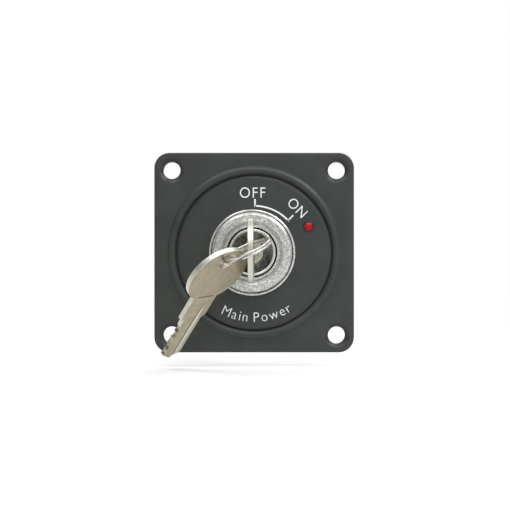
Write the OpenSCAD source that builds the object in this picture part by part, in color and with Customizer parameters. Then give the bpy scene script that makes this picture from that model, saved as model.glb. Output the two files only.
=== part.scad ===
// Key-operated battery switch on a square panel: a wafer lock turns a contact bridge behind the plate.
// Origin: centre of the plate's rear mounting face. +Z up, the front faces -Y.
// Inside each module the piece is drawn lying down: x right, y up, z towards the viewer,
// with z = 0 on the plate's rear face. stand() turns it into the part's own frame.

/* [Face plate] */
// Side of the square plate
plate_w = 72; // [66:0.5:80]
// Thickness of the plate
plate_t = 3.2; // [2.8:0.1:4]
// Corner radius of the plate
plate_corner = 5.5; // [4:0.5:8]
// Chamfer around the plate's front edge
plate_chamfer = 0.45; // [0.2:0.05:0.8]
// Distance between the mounting holes
hole_pitch = 59.5; // [56:0.5:61]
// Diameter of the mounting holes
hole_d = 6.2; // [4:0.1:6.6]
// Diameter of the countersink around a mounting hole
sink_d = 8.8; // [8:0.1:10]
// Radius of the raised ring's centre line
bead_r = 29.7; // [27:0.5:30]
// Width of the raised ring
bead_w = 2.6; // [1.5:0.1:3]
// Height of the raised ring over the plate
bead_h = 0.85; // [0.4:0.05:1.2]
// Depth of the dial inside the raised ring
dial_recess = 0.3; // [0.1:0.05:0.6]

/* [Lock barrel and nut] */
// Sideways offset of the lock's axis from the plate's centre
lock_x = -0.7; // [-1:0.1:1]
// Radius of the lock's barrel
barrel_r = 10; // [9.5:0.1:10]
// Outer radius of the bezel washer
washer_r = 15.55; // [15:0.05:17]
// Outer radius of the ring nut
nut_r = 14.4; // [13.5:0.1:14.8]
// Height of the barrel's front over the plate's rear face
barrel_front = 6.3; // [6:0.1:7]
// Radius of the plug's chrome cap
cap_r = 8.4; // [8:0.1:8.5]
// Radius of the brass plug
plug_r = 6.4; // [6.2:0.05:6.5]
// Running clearance of the plug in its bore, on the radius
plug_gap = 0.05; // [0.03:0.01:0.1]

/* [Key] */
// Thickness of a key
key_t = 1.8; // [1.7:0.1:2.1]
// Width of the blade
blade_w = 7.5; // [7:0.1:7.6]
// Length of the blade, from the shoulder to the tip
blade_l = 20.5; // [20:0.1:20.8]
// Width of the shank between the blade and the bow
shank_w = 10; // [9:0.5:11]
// Length of the shank
shank_l = 9.5; // [8:0.5:10]
// Length of the oval bow
bow_l = 23; // [22:0.5:26]
// Width of the oval bow
bow_w = 22; // [20:0.5:23]
// Radius of the hole in the bow
bow_hole_r = 3.1; // [2.6:0.1:3.3]

/* [Key ring and spare key] */
// Mean radius of the split ring
ring_r = 7.9; // [7.5:0.1:8.5]
// Radius of the ring's wire
ring_wire_r = 0.45; // [0.4:0.05:0.5]
// Centre of the split ring, as x, y and height over the plate's rear face
ring_centre = [-1.7, -0.53, 40.74];
// Heading of the ring's long diameter as seen from the front, in degrees
ring_heading = 23.3; // [15:0.1:50]
// Lean of the ring away from the lock's axis, in degrees
ring_lean = 12.1; // [-20:0.1:20]
// Hole centre of the spare key, as x, y and height over the plate's rear face
spare_centre = [-8.54, -3.29, 39.51];
// Heading of the spare key as seen from the front, in degrees
spare_heading = 56.8; // [45:0.1:65]
// Tilt of the spare key from the lock's axis, in degrees
spare_tilt = 55.1; // [45:0.1:70]
// Roll of the spare key about its own length, in degrees
spare_roll = 57.6; // [15:0.1:70]

/* [Housing and contacts] */
// Radius of the lock housing behind the plate
body_r = 13; // [12.6:0.1:14]
// Distance from the plate's rear face to the housing's rear face
body_back = 22; // [21.5:0.5:23]
// Depth of the terminal base
base_depth = 14; // [13:0.5:16]
// Turn of the key between off and on, in degrees
key_turn = 45; // [30:5:60]
// Distance of each terminal from the lock's axis
terminal_r = 6.5; // [6.2:0.1:7]
// Length of the terminal studs behind the base
stud_out = 16; // [15.5:0.5:20]

/* [LED] */
// Centre of the LED, as x and y
led_at = [19.6, 9.5];
// Radius of the LED's lens
led_r = 1.5; // [1.4:0.1:1.6]

/* [Hidden] */
$fn = 64;
fine = 128;                         // segments of the large visible rounds
eps = 0.01;                         // overlap of a cutting tool past a face
gap = 0.05;                         // small gap between pieces that only rest together

dial_z = plate_t - dial_recess;     // front of the dial
washer_t = 0.8;                     // bezel washer
nut_back = dial_z + washer_t;
nut_chamfer = 0.7;                  // sloping edge of the nut's front
nut_dish = 1.4;                     // width of the dished inner edge of its front
tab_w = 2.6;                        // locating tab that stops the housing turning
tab_out = 1.4;
wave_t = 0.8;                       // wave washer's working height
flange_t = 2.4;                     // shoulder of the housing
flange_r = 14.5;
panel_hole_r = barrel_r + 0.15;

bore_r = plug_r + plug_gap;
cap_bore_r = cap_r + 0.55;          // recess of the barrel round the chrome cap
rim_chamfer = 0.2;
cap_back = 4.5;                     // rear of the chrome cap
cap_front = 6.2;                    // the key's shoulder stops here
core_r = 3.5;                       // brass face that shows in the cap
core_front = 5.9;
slot_w = key_t + 0.2;
slot_h = blade_w + 0.3;
slot_back = cap_front - blade_l - 0.6;

wafer_n = 5;
wafer_pitch = 3;
wafer_first = 1;                    // height of the first wafer
wafer_last = wafer_first - (wafer_n - 1) * wafer_pitch;
groove_step = 0.2;                  // the on groove is this much longer at both ends
wafer_t = 1;
wafer_w = 6;
wafer_h = 11;
wafer_room = 0.1;                   // clearance around a wafer in its chamber
wafer_drop = 0.8;                   // travel of a wafer when the key is out
ear_w = 2;                          // ear that the wafer's spring pushes on
ear_low = -2.8;
ear_high = -1.8;
spring_top = 2.4;

notch_z = -18.5;                    // ring of notches that the detent ball drops into
ball_r = 1.5;
ball_lift = 0.5;                    // depth of a notch, and travel of the ball
ball_x = plug_r + ball_r + gap;
detent_bore_r = ball_r + 0.05;
screw_in = 11.6;                    // inner end of the detent plug screw

clip_z = -body_back - 0.9;
clip_t = 0.8;
clip_groove_r = 5.4;
tail_w = 5;

base_back = -body_back - base_depth;
cup_floor = base_back + 5;          // front of the floor inside the cup
cup_r = 10;
stud_r = 2;
stud_head_r = 3;
stud_head_t = 1;
tip_r = 1.4;
tip_t = 0.4;
bridge_t = 0.8;
bridge_front = cup_floor + stud_head_t + tip_t + gap + bridge_t;
bridge_w = 4;
rotor_back = bridge_front + 1.6;
tail_back = rotor_back + 0.05;
rib_t = 1;                          // ribs of the contact rotor
rib_half = 4;
base_screw_r = 1.25;
base_screw_at = 11.5;

hex_flats = 7;                      // M4 nut
hex_t = 3.2;
lug_t = 0.8;
wire_r = 0.6;
lens_back = -2.5;                   // rear of the LED's lens
lead_back = -9;                     // rear of its leads
resistor_back = lead_back - 3.6;
pigtail_back = -33;                 // the black wire is cut off in front of the red one
lead_gap = 1.27;                    // half the distance between the LED's leads
lug_to_led = [led_at[0] + lead_gap - lock_x - terminal_r * sin(key_turn),
              led_at[1] - terminal_r * cos(key_turn)];
lug_angle = atan2(lug_to_led[1], lug_to_led[0]);
lug_run = norm(lug_to_led);
lug_z = base_back - hex_t - 0.8 - lug_t;   // rear face of the lug
wire_bend = 4;

hole_from_end = 4.6;                // bow hole centre to the bow's end
hole_z = shank_l + bow_l - hole_from_end;
cut_depths = [0.9, 1.3, 0.6, 1.1, 0.8];

// Turns the lying-down drawing upright, front towards -Y
module stand() { rotate([90, 0, 0]) children(); }

// The same for the lock's pieces, which are drawn round the lock's own axis
module stand_lock() { stand() translate([lock_x, 0, 0]) children(); }

// A ring or disc from z = low to z = high
module tube(outer, inner, low, high, segments = $fn) {
    translate([0, 0, low]) difference() {
        cylinder(r = outer, h = high - low, $fn = segments);
        translate([0, 0, -1]) cylinder(r = inner, h = high - low + 2, $fn = segments);
    }
}

module disc(radius, low, high, segments = $fn) {
    translate([0, 0, low]) cylinder(r = radius, h = high - low, $fn = segments);
}

// A block given by its half widths
module slab(half_x, half_y, low, high) {
    translate([-half_x, -half_y, low]) cube([2 * half_x, 2 * half_y, high - low]);
}

// A hexagonal nut with a round hole
module hex_nut(flats, hole_radius, low, high) {
    translate([0, 0, low]) difference() {
        cylinder(r = flats / 2 / cos(30), h = high - low, $fn = 6);
        translate([0, 0, -1]) cylinder(r = hole_radius, h = high - low + 2);
    }
}

// A coil along +z from z = 0, with closed form points: the wire's round section swept round the axis
module coil(radius, wire, length, turns, steps = 12) {
    $fn = 8;
    rise = (length - 2 * wire) / turns;
    linear_extrude(height = length - 2 * wire, twist = -360 * turns, slices = steps * turns, segments = 8)
        polygon([for (k = [0:7]) let (a = 45 * k, turn = 360 * wire * sin(a) / rise)
            (radius + wire * cos(a)) * [cos(turn), sin(turn)]]);
}

// The four mounting hole positions, or the two terminals
module at_corners() {
    for (x = [-1, 1], y = [-1, 1]) translate([x * hole_pitch / 2, y * hole_pitch / 2, 0]) children();
}

module at_terminals() {
    for (side = [0, 180]) rotate(side - key_turn) translate([0, terminal_r, 0]) children();
}

// Square prism with a chamfered front edge and round corners
module plate_blank() {
    half = plate_w / 2;
    in = half - plate_corner;
    profile = [[-half, 0], [half, 0], [half, plate_t - plate_chamfer], [half - plate_chamfer, plate_t],
               [-half + plate_chamfer, plate_t], [-half, plate_t - plate_chamfer]];
    difference() {
        intersection() {
            rotate([90, 0, 0]) linear_extrude(height = plate_w, center = true) polygon(profile);
            rotate([90, 0, 90]) linear_extrude(height = plate_w, center = true) polygon(profile);
        }
        for (x = [-1, 1], y = [-1, 1]) translate([x * (in + plate_corner), y * (in + plate_corner), 0])
            slab(plate_corner, plate_corner, -1, plate_t + 1);
    }
    for (x = [-1, 1], y = [-1, 1]) translate([x * in, y * in, 0])
        rotate_extrude() polygon([[0, 0], [plate_corner, 0], [plate_corner, plate_t - plate_chamfer],
            [plate_corner - plate_chamfer, plate_t], [0, plate_t]]);
}

module face_plate() {
    sink_depth = (sink_d - hole_d) / 2;
    color("#3f4340") stand() difference() {
        union() {
            plate_blank();
            translate([0, 0, plate_t - 0.5]) rotate_extrude($fn = fine) intersection() {
                translate([bead_r, 0]) union() {
                    translate([-bead_w / 2, 0]) square([bead_w, 0.5]);
                    translate([0, 0.5 + bead_h - bead_arc_r()]) circle(r = bead_arc_r(), $fn = 48);
                }
                translate([bead_r - bead_w / 2, 0]) square([bead_w, 0.5 + bead_h]);
            }
        }
        disc(bead_r - bead_w / 2, dial_z, plate_t + 2, fine);
        translate([lock_x, 0, 0]) {
            disc(panel_hole_r, -1, plate_t + 1, fine);
            translate([0, panel_hole_r + tab_out / 2, 0]) slab(tab_w / 2 + 0.15, tab_out, -1, plate_t + 1);
        }
        at_corners() {
            disc(hole_d / 2, -1, plate_t + 1);
            translate([0, 0, plate_t - sink_depth])
                cylinder(r1 = hole_d / 2, r2 = sink_d / 2 + eps, h = sink_depth + eps);
        }
        translate([led_at[0], led_at[1], 0]) disc(led_r + 0.3, -1, plate_t + 1);
    }
}

// Radius of the arc over the raised ring
function bead_arc_r() = (bead_w * bead_w / 4 + bead_h * bead_h) / (2 * bead_h);

module bezel_washer() {
    color("#b9bcb8") stand_lock() rotate_extrude($fn = fine) polygon([[barrel_r + 0.1, dial_z],
        [washer_r, dial_z], [washer_r, dial_z + 0.45], [washer_r - 0.35, nut_back],
        [barrel_r + 0.1, nut_back]]);
}

module ring_nut() {
    color("#c6c8c4") stand_lock() difference() {
        rotate_extrude($fn = fine) polygon([[barrel_r + 0.05, nut_back], [nut_r, nut_back],
            [nut_r, barrel_front - nut_chamfer], [nut_r - nut_chamfer, barrel_front],
            [barrel_r + nut_dish, barrel_front], [barrel_r + 0.05, barrel_front - 0.4]]);
        for (a = [0:90:270]) rotate(a + 20) translate([0, nut_r, nut_back + 0.9]) rotate([90, 0, 0])
            disc(0.6, -1, 1.6, 24);
    }
}

module wave_washer() {
    color("#a9aca8") stand_lock() difference() {
        tube(flange_r - 0.5, barrel_r + 0.1, -wave_t, 0, fine);
        translate([0, barrel_r + tab_out, 0]) slab(tab_w / 2 + 0.2, tab_out + 0.2, -wave_t - 1, 1);
    }
}

module lock_housing() {
    color("#b0b3af") stand_lock() difference() {
        union() {
            disc(barrel_r, -wave_t - 1, barrel_front, fine);
            disc(flange_r, -wave_t - flange_t, -wave_t, fine);
            disc(body_r, -body_back, -wave_t - flange_t + eps, fine);
            translate([0, barrel_r, 0]) slab(tab_w / 2, tab_out, -wave_t - 1, plate_t - 0.8);
        }
        disc(bore_r, -body_back - 1, barrel_front, fine);
        disc(cap_bore_r, cap_back - gap, barrel_front + 1, fine);
        translate([0, 0, barrel_front - rim_chamfer])
            cylinder(r1 = cap_bore_r, r2 = cap_bore_r + rim_chamfer, h = rim_chamfer + eps, $fn = fine);
        // The wafers drop into these grooves when the key is out, in both key positions
        for (on = [0, 1]) let (over = 1.2 + on * groove_step) rotate(-on * key_turn)
            translate([0, -plug_r, 0]) slab(wafer_w / 2 + 0.25, 1.4, wafer_last - over, wafer_first + over);
        // Radial bore of the detent
        translate([0, 0, notch_z]) rotate([0, 90, 0]) disc(detent_bore_r, 0, body_r + 1);
        at_base_screws() disc(base_screw_r, -body_back - 1, -body_back + 6, 32);
        clip_room();
    }
}

// Room at the rear of the housing for the retaining clip
module clip_room() { disc(bore_r + 1.4, -body_back - 1, -body_back + 0.2, fine); }

module at_base_screws() {
    for (a = [90, 270]) rotate(a) translate([base_screw_at, 0, 0]) children();
}

module detent_spring() {
    wire = 0.18;
    start = ball_x + 1.1;
    color("#c9cbc8") stand_lock() translate([start, 0, notch_z]) rotate([0, 90, 0])
        translate([0, 0, wire]) coil(1, wire, screw_in - start - gap, 3);
}

module detent_screw() {
    color("#9ea19d") stand_lock() translate([0, 0, notch_z]) rotate([0, 90, 0]) difference() {
        disc(detent_bore_r - 0.02, screw_in, body_r - 0.1);
        slab(0.25, 2, body_r - 0.6, body_r + 1);
    }
}

module detent_ball() {
    color("#d8d8d8") stand_lock() translate([ball_x, 0, notch_z]) sphere(r = ball_r, $fn = 48);
}

module terminal_base() {
    color("#26272a") stand_lock() difference() {
        disc(body_r, base_back, -body_back, fine);
        disc(cup_r, cup_floor, -body_back + 1, fine);
        at_base_screws() {
            disc(base_screw_r + 0.1, base_back - 1, -body_back + 1, 32);
            disc(2.1, base_back - 1, base_back + 2, 32);
        }
        at_terminals() disc(stud_r + 0.05, base_back - 1, cup_floor + 1);
        rotate(-key_turn) translate([-1, -2, base_back - 1]) cube([2, 4, 1.6]);
    }
}

module base_screws() {
    color("#c3c6c2") stand_lock() at_base_screws() difference() {
        union() {
            disc(base_screw_r - 0.02, base_back + 1, -body_back + 5, 32);
            disc(2, base_back + 0.4, base_back + 2, 32);
        }
        slab(0.3, 3, base_back, base_back + 0.9);
        slab(3, 0.3, base_back, base_back + 0.9);
    }
}

module terminal_studs() {
    relief_z = base_back - 9.2;
    color("#b89a4c") stand_lock() at_terminals() difference() {
        union() {
            disc(stud_head_r, cup_floor, cup_floor + stud_head_t);
            disc(stud_r, base_back - stud_out + 0.4, cup_floor);
            translate([0, 0, base_back - stud_out]) cylinder(r1 = stud_r - 0.4, r2 = stud_r, h = 0.4);
        }
        tube(stud_r + 1, stud_r - 0.3, relief_z - 0.5, relief_z);
    }
}

module contact_tips() {
    color("#d9dad6") stand_lock() at_terminals()
        disc(tip_r, cup_floor + stud_head_t, cup_floor + stud_head_t + tip_t);
}

module stud_lock_nuts() {
    color("#c6a24e") stand_lock() at_terminals()
        hex_nut(hex_flats, stud_r + 0.02, base_back - hex_t, base_back);
}

// A plain washer on each stud, and a second one that stands in the lug's place on the stud without a lug
module terminal_washers() {
    top = base_back - hex_t;
    color("#c9cbc8") stand_lock() {
        at_terminals() tube(4, stud_r + 0.1, top - 0.8, top);
        rotate(180 - key_turn) translate([0, terminal_r, 0]) tube(4, stud_r + 0.1, lug_z, lug_z + lug_t);
    }
}

module terminal_nuts() {
    color("#c6a24e") stand_lock() at_terminals() rotate(10)
        hex_nut(hex_flats, stud_r + 0.02, lug_z - hex_t, lug_z);
}

// The frame of the lug: x points from the stud to the LED's wire
module at_lug() {
    rotate(-key_turn) translate([0, terminal_r, 0]) rotate(key_turn + lug_angle) children();
}

module ring_lug() {
    color("#cfd1cd") stand_lock() at_lug() difference() {
        union() {
            disc(3.8, lug_z, lug_z + lug_t);
            translate([2, -1.2, lug_z]) cube([4, 2.4, lug_t]);
            translate([5.2, 0, lug_z + 1.1]) rotate([0, 90, 0]) disc(1.1, 0, 5, 32);
        }
        disc(stud_r + 0.1, lug_z - 1, lug_z + 2);
        translate([5.2, 0, lug_z + 1.1]) rotate([0, 90, 0]) disc(wire_r + 0.02, 1, 6, 32);
    }
}

// Runs from the lug, turns forwards and ends at the resistor; the bend is a hair fatter than the runs
module red_wire() {
    from = 6.4;
    axis_z = lug_z + 1.1;
    run_into = 0.3;
    color("#b3231f") stand_lock() at_lug() {
        translate([from, 0, axis_z]) rotate([0, 90, 0])
            disc(wire_r, 0, lug_run - wire_bend - from + run_into, 24);
        translate([lug_run - wire_bend, 0, axis_z + wire_bend]) rotate([90, 0, 0]) rotate([0, 0, -90])
            rotate_extrude(angle = 90) translate([wire_bend, 0]) circle(r = wire_r + 0.03, $fn = 24);
        translate([lug_run, 0, 0]) disc(wire_r, axis_z + wire_bend - run_into, resistor_back, 24);
    }
}

module black_wire() {
    color("#1c1c1e") stand() translate([led_at[0] - lead_gap, led_at[1], 0]) {
        disc(wire_r, pigtail_back, lead_back, 24);
        disc(0.3, pigtail_back - 4, pigtail_back, 24);
    }
}

module led_lens() {
    color("#c01822") stand() translate([led_at[0], led_at[1], 0]) {
        disc(led_r, lens_back, plate_t - 0.1);
        translate([0, 0, plate_t - 0.1]) intersection() {
            translate([0, 0, 0.7 - 1.96]) sphere(r = 1.96, $fn = 64);
            disc(led_r, 0, 1);
        }
        disc(led_r + 0.4, lens_back, lens_back + 1);
    }
}

module led_holder() {
    color("#1d1e20") stand() translate([led_at[0], led_at[1], 0]) {
        tube(led_r + 0.27, led_r + 0.02, -1.2, dial_z + 0.3);
        tube(led_r + 0.5, led_r + 0.02, dial_z, dial_z + 0.3);
        tube(led_r + 1, led_r + 0.02, -1.2, 0);
    }
}

module led_leads() {
    color("#cfd0cc") stand() for (side = [-1, 1])
        translate([led_at[0] + side * lead_gap, led_at[1], 0]) disc(0.25, lead_back, lens_back, 24);
}

module resistor() {
    color("#c9b48a") stand() translate([led_at[0] + lead_gap, led_at[1], 0]) rotate_extrude($fn = 32)
        polygon([[0, resistor_back], [0.75, resistor_back], [0.9, resistor_back + 0.3],
            [0.9, resistor_back + 0.9], [0.75, resistor_back + 1.1], [0.75, lead_back - 1.1],
            [0.9, lead_back - 0.9], [0.9, lead_back - 0.3], [0.75, lead_back], [0, lead_back]]);
}

module heat_shrink() {
    color("#202023") stand() translate([led_at[0], led_at[1], 0]) {
        translate([lead_gap, 0, 0]) tube(1.2, 0.95, resistor_back - 2.4, lead_back + 2, 32);
        translate([-lead_gap, 0, 0]) tube(0.9, wire_r + 0.04, lead_back - 4, lead_back + 2, 32);
    }
}

// Chambers for a wafer, its ear and its spring
module wafer_chamber(at) {
    room = wafer_t / 2 + wafer_room;
    translate([0, 0, at]) {
        slab(wafer_w / 2 + wafer_room, plug_r + 1, -room, room);
        translate([wafer_w / 2, ear_low - wafer_drop - 0.1, -room])
            cube([ear_w + 0.1, spring_top - ear_low + wafer_drop + 0.1, 2 * room]);
    }
}

module at_wafers() {
    for (k = [0:wafer_n - 1]) translate([0, 0, wafer_first - k * wafer_pitch]) children();
}

module plug() {
    color("#b9a668") stand_lock() difference() {
        union() {
            disc(plug_r, clip_z - clip_t - 0.6, cap_back - gap, fine);
            disc(core_r, cap_back - 1, core_front, fine);
            slab(tail_w / 2, tail_w / 2, tail_back, clip_z);
        }
        slab(slot_w / 2, slot_h / 2, slot_back, core_front + 1);
        for (k = [0:wafer_n - 1]) wafer_chamber(wafer_first - k * wafer_pitch);
        tube(plug_r + 1, clip_groove_r, clip_z - clip_t - 0.05, clip_z + 0.05, fine);
        // Notches that the detent ball drops into
        for (turn = [0, 1]) rotate(turn * key_turn) translate([ball_x - ball_lift, 0, notch_z])
            sphere(r = ball_r + 0.06, $fn = 48);
    }
}

module plug_cap() {
    color("#8d918e") stand_lock() difference() {
        rotate_extrude($fn = fine) polygon([[core_r + 0.03, cap_back], [cap_r, cap_back],
            [cap_r, barrel_front - 0.3], [cap_r - 0.3, barrel_front], [cap_r - 0.6, barrel_front],
            [cap_r - 0.85, cap_front - 0.15], [core_r + 0.4, cap_front - 0.15], [core_r + 0.25, cap_front],
            [core_r + 0.03, cap_front - 0.1]]);
        slab(slot_w / 2 + 0.1, slot_h / 2 + 0.1, cap_back - 1, barrel_front + 1);
    }
}

module retaining_clip() {
    color("#8e9190") stand_lock() difference() {
        tube(plug_r + 1, clip_groove_r + 0.03, clip_z - clip_t, clip_z, fine);
        translate([0, -plug_r, 0]) slab(2.2, 3, clip_z - 2, clip_z + 1);
    }
}

module contact_rotor() {
    front_z = clip_z - clip_t - 1;
    color("#e4ddc8") stand_lock() difference() {
        union() {
            disc(cup_r - 0.4, rotor_back, rotor_back + 1.6, fine);
            disc(5.4, rotor_back, front_z, fine);
            // Two ribs that take the bridge round with them
            for (side = [-1, 1]) translate([side * (bridge_w / 2 + gap + rib_t / 2), 0, 0])
                slab(rib_t / 2, rib_half, bridge_front - bridge_t + 0.2, rotor_back + 0.5);
        }
        slab(tail_w / 2 + 0.03, tail_w / 2 + 0.03, tail_back - 0.1, front_z + 1);
    }
}

// Pushes the bridge back on to the contact tips
module contact_spring() {
    wire = 0.15;
    color("#c9cbc8") stand_lock() translate([0, 0, bridge_front + gap + wire])
        coil(1.8, wire, rotor_back - bridge_front - 2 * gap, 2);
}

module contact_bridge() {
    color("#c07c4a") stand_lock() slab(bridge_w / 2, terminal_r + 2, bridge_front - bridge_t, bridge_front);
}

module wafers() {
    color("#c7b06a") stand_lock() at_wafers() translate([0, 0, -wafer_t / 2]) difference() {
        union() {
            slab(wafer_w / 2, wafer_h / 2, 0, wafer_t);
            translate([wafer_w / 2 - 0.5, ear_low, 0]) cube([ear_w + 0.4, ear_high - ear_low, wafer_t]);
        }
        translate([-key_t / 2 - 0.2, -blade_w / 2 - 0.1, -1])
            cube([key_t + 0.4, blade_w + 0.2 + wafer_drop, wafer_t + 2]);
    }
}

module wafer_springs() {
    wire = 0.12;
    color("#d0d2cf") stand_lock() at_wafers()
        translate([wafer_w / 2 + ear_w / 2 - 0.05, ear_high + gap + wire, 0]) rotate([-90, 0, 0])
            coil(0.4, wire, spring_top - ear_high - 2 * gap, 5, 10);
}

// Key with its shoulder at z = 0, the blade towards -z, the bow towards +z and the cuts on the +y edge
module key_solid() {
    half = blade_w / 2;
    shank = shank_w / 2;
    blade_start = wafer_first - cap_front;
    bow_start = asin(shank_w / bow_w);
    tip = [[-half, 3 - blade_l], [-0.6, -blade_l], [0.6, -blade_l], [half - 1.4, 1.2 - blade_l]];
    cuts = [for (k = [wafer_n - 1:-1:0]) let (z = blade_start - k * wafer_pitch)
        each [[half - 0.3, z - 1.5], [half - cut_depths[k], z - 0.5], [half - cut_depths[k], z + 0.5]]];
    bow = [for (k = [0:56]) let (a = 360 - bow_start - k * (360 - 2 * bow_start) / 56)
        [-bow_w / 2 * sin(a), shank_l + bow_l / 2 * (1 - cos(a))]];
    difference() {
        rotate([90, 0, 90]) linear_extrude(height = key_t, center = true)
            polygon(concat([[-half, -0.2]], tip, cuts,
                [[half - 0.3, -3.6], [half, -2.6], [half, 0], [shank, 0]], bow, [[-shank, 1.8]]));
        translate([0, 0, hole_z]) rotate([0, 90, 0]) cylinder(r = bow_hole_r, h = 9, center = true);
        for (side = [-1, 1]) translate([side * key_t / 2, 0, 0]) milled_groove();
    }
}

// Shallow groove down each face of the blade, running out in the shank
module milled_groove() {
    translate([-0.45, -1.9, -blade_l - 1]) cube([0.9, 1.6, blade_l + shank_l - 1]);
}

module key() { color("#cdc4a4") stand_lock() translate([0, 0, cap_front]) key_solid(); }

module spare_key() {
    color("#c9b98c") stand() translate(spare_centre) rotate(spare_heading) rotate([0, spare_tilt, 0])
        rotate(spare_roll) translate([0, 0, -hole_z]) key_solid();
}

// Split ring: two turns of wire side by side, joined along their flats
module key_ring() {
    turn_gap = ring_wire_r * 2 - 0.06;
    color("#c8cac6") stand() translate(ring_centre) rotate(ring_heading) rotate([ring_lean, 0, 0])
        rotate([90, 0, 0]) for (side = [-1, 1]) translate([0, 0, side * turn_gap / 2])
            rotate_extrude($fn = fine) translate([ring_r, 0]) circle(r = ring_wire_r, $fn = 24);
}

face_plate();
bezel_washer();
ring_nut();
wave_washer();
lock_housing();
detent_spring();
detent_screw();
terminal_base();
base_screws();
terminal_studs();
contact_tips();
stud_lock_nuts();
terminal_washers();
terminal_nuts();
ring_lug();
led_lens();
led_holder();
led_leads();
resistor();
heat_shrink();
red_wire();
black_wire();
plug();
plug_cap();
retaining_clip();
contact_rotor();
contact_spring();
contact_bridge();
wafer_springs();
wafers();
detent_ball();
key();
key_ring();
spare_key();
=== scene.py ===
"""Looks of the key-operated battery switch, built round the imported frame.

Metres, +Z up, the front of the panel faces -Y. Pieces are modelled in a front frame
(x right, y up, z out of the panel, origin on the plate's rear face) in millimetres, and
stood up by STAND. Sizes are read from the frame's boxes wherever a box gives them.
"""
import math

import bmesh
import bpy
from mathutils import Matrix, Vector
from mathutils.geometry import delaunay_2d_cdt


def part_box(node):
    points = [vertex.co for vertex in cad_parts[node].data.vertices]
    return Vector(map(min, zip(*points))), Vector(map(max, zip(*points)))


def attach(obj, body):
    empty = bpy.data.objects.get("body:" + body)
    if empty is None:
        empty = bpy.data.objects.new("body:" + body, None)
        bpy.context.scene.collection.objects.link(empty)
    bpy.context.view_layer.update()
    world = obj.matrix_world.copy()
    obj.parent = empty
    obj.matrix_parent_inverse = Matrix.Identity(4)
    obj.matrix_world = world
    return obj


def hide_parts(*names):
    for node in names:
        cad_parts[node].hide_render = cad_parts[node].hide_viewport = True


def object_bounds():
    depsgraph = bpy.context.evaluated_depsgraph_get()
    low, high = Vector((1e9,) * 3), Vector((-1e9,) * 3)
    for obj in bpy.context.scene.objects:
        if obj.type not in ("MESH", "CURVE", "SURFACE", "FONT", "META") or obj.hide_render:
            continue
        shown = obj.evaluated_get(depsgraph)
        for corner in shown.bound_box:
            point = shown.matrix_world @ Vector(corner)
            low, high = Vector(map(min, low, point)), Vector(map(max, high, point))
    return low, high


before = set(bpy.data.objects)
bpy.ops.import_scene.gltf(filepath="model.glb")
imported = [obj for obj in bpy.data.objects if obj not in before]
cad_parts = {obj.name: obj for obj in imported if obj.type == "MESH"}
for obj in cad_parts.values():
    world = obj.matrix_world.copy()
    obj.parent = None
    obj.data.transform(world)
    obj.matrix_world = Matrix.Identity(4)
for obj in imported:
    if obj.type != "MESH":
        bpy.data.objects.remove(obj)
cad_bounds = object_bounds()

MM = 0.001
TAU = 2 * math.pi
# Front frame in millimetres to the row frame in metres
STAND = Matrix(((MM, 0, 0, 0), (0, 0, -MM, 0), (0, MM, 0, 0), (0, 0, 0, 1)))


def span(node):
    """The ranges of a CAD node in the front frame, with its centre and its half width r."""
    low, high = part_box(node)
    return {
        "x": (low.x / MM, high.x / MM), "y": (low.z / MM, high.z / MM),
        "z": (-high.y / MM, -low.y / MM),
        "cx": (low.x + high.x) / 2 / MM, "cy": (low.z + high.z) / 2 / MM,
        "r": (high.x - low.x) / 2 / MM,
    }


# ------------------------------------ sizes, in mm
PLATE = span("face_plate")
WASHER = span("bezel_washer")
NUT = span("ring_nut")
CAP = span("plug_cap")
LENS = span("led_lens")
BASE = span("terminal_base")
STUDS = span("terminal_studs")

# Face plate: the raised ring ("bead") stands on the face, and the dial inside it is a step lower
HALF = PLATE["x"][1]
BEAD_R = 29.7
BEAD_W = 2.6
BEAD_H = 0.85
FACE_Z = PLATE["z"][1] - BEAD_H
DIAL_Z = FACE_Z - 0.3
CORNER_R = 5.5
EDGE_R = 0.45
BACK_EDGE = 0.15
HOLE_AT = 29.75
HOLE_R = 3.1
SINK_R = 4.4
SINK_LIP = 0.12
HOLE_COUNT = 56
BEAD_COUNT = 256

# Lock and LED
LOCK_AT = (NUT["cx"], 0.0)
NECK_R = 10.15
NECK_COUNT = 128
TURNED_COUNT = 256
LED_AT = (LENS["cx"], LENS["cy"])
LED_HOLE_R = 1.8
LED_COUNT = 48
LEAD_GAP = 1.27

# Key: blade below the shoulder, then shank and round bow with its hole
KEY_T = 1.8
BLADE_L = 20.5
BLADE_HALF = 3.75
SHANK_HALF = 5.0
SHANK_L = 9.5
BOW_L = 23.0
BOW_W = 22.0
BOW_HOLE_R = 3.1
HOLE_FROM_END = 4.6
HOLE_Z = SHANK_L + BOW_L - HOLE_FROM_END
KEY_STOP = 6.2
CUT_DEPTHS = (0.9, 1.3, 0.6, 1.1, 0.8)
CUT_PITCH = 3.0
FIRST_CUT = 5.2
KEY_EDGE_R = 0.14

# Poses: the ring's centre, heading and lean; the spare key's hole, heading, tilt and roll
RING_POSE = ((-1.7, -0.53, 40.74), 23.3, 12.1)
SPARE_POSE = ((-8.54, -3.29, 39.51), 56.8, 55.1, 57.6)

# Printed marks
LEGEND_T = 0.03
LEGEND_SUNK = 0.02
# A font's space over the height of its capitals
WORD_SPACE = 0.33 / 0.7
ON_ANGLE = math.radians(45)
TRAVEL_R = 16.85
LINE_W = 0.62


# ------------------------------------ mesh helpers
def new_piece(name, verts, faces, body, slot_name, matrix=STAND, smooth=35):
    """A mesh object from front-frame millimetres, riding on a body."""
    mesh = bpy.data.meshes.new(name)
    mesh.from_pydata([matrix @ Vector(v) for v in verts], [], faces)
    return finish_piece(name, mesh, body, smooth)


def finish_piece(name, mesh, body, smooth=35):
    """A cleaned mesh as a named object that rides on a body."""
    clean(mesh, 1e-7)
    obj = link_object(name, mesh)
    set_smooth(mesh, smooth)
    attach(obj, body)
    return obj


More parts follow.
